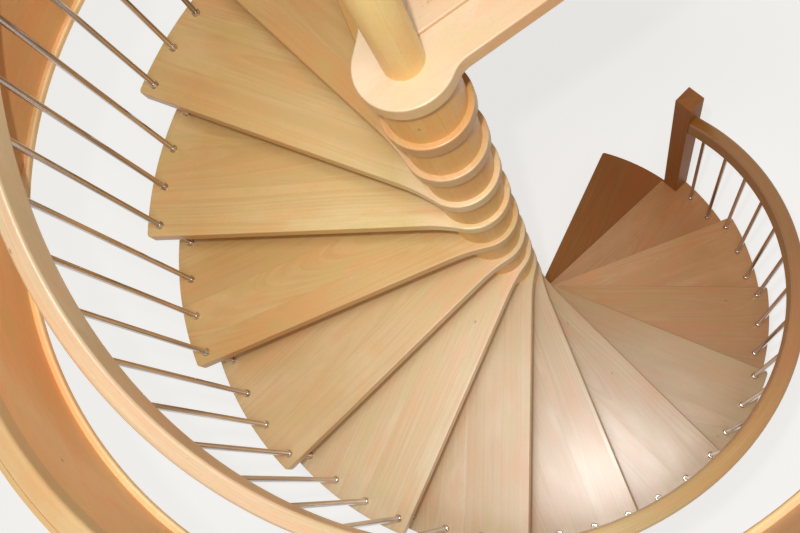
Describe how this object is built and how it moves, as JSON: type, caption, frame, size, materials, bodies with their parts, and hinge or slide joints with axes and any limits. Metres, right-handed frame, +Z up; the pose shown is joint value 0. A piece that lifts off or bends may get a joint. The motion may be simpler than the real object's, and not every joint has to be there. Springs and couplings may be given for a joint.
{
  "type": "spiral staircase",
  "caption": "Clockwise-climbing beech spiral staircase round a drum column, with steel rod balusters, a winding handrail, a landing and the lining of its stairwell.",
  "frame": {"origin": "on the column's axis at the lower floor's level, in the underside of the foot plate", "axes": "+Z up along the column; -Y towards the first tread's leading baluster place, the flight climbing clockwise seen from above"},
  "size_m": [2.1, 2.0999, 3.8596],
  "materials": {
    "beech_treads": "satin lacquer",
    "beech_landing": "satin lacquer",
    "parquet_deck": "satin lacquer",
    "beech_drums": "satin lacquer",
    "beech_post": "satin lacquer",
    "beech_newels": "satin lacquer",
    "beech_handrail": "satin lacquer",
    "beech_lining": "satin lacquer",
    "stainless_rods": "polished",
    "steel_tube": "plain",
    "painted_plate": "satin"
  },
  "bodies": {
    "root": {"tread_01": "beech_treads", "tread_02": "beech_treads", "tread_03": "beech_treads", "tread_04": "beech_treads", "tread_05": "beech_treads", "tread_06": "beech_treads", "tread_07": "beech_treads", "tread_08": "beech_treads", "tread_09": "beech_treads", "tread_10": "beech_treads", "tread_11": "beech_treads", "tread_12": "beech_treads", "tread_13": "beech_treads", "tread_14": "beech_treads", "tread_15": "beech_treads", "landing": "beech_landing", "landing_border": "beech_landing", "landing_deck": "parquet_deck", "column_drums": "beech_drums", "centre_tube": "steel_tube", "foot_plate": "painted_plate", "upper_post": "beech_post", "lower_newel": "beech_newels", "upper_newel": "beech_newels", "handrail_1": "beech_handrail", "handrail_2": "beech_handrail", "handrail_3": "beech_handrail", "handrail_4": "beech_handrail", "handrail_5": "beech_handrail", "handrail_6": "beech_handrail", "lower_balusters": "stainless_rods", "middle_balusters": "stainless_rods", "upper_balusters": "stainless_rods", "tread_spacers": "stainless_rods", "well_lining_1": "beech_lining", "well_lining_2": "beech_lining", "well_lining_3": "beech_lining", "well_lining_4": "beech_lining", "well_nosing_1": "beech_lining", "well_nosing_2": "beech_lining", "well_nosing_3": "beech_lining"}
  },
  "joints": []
}
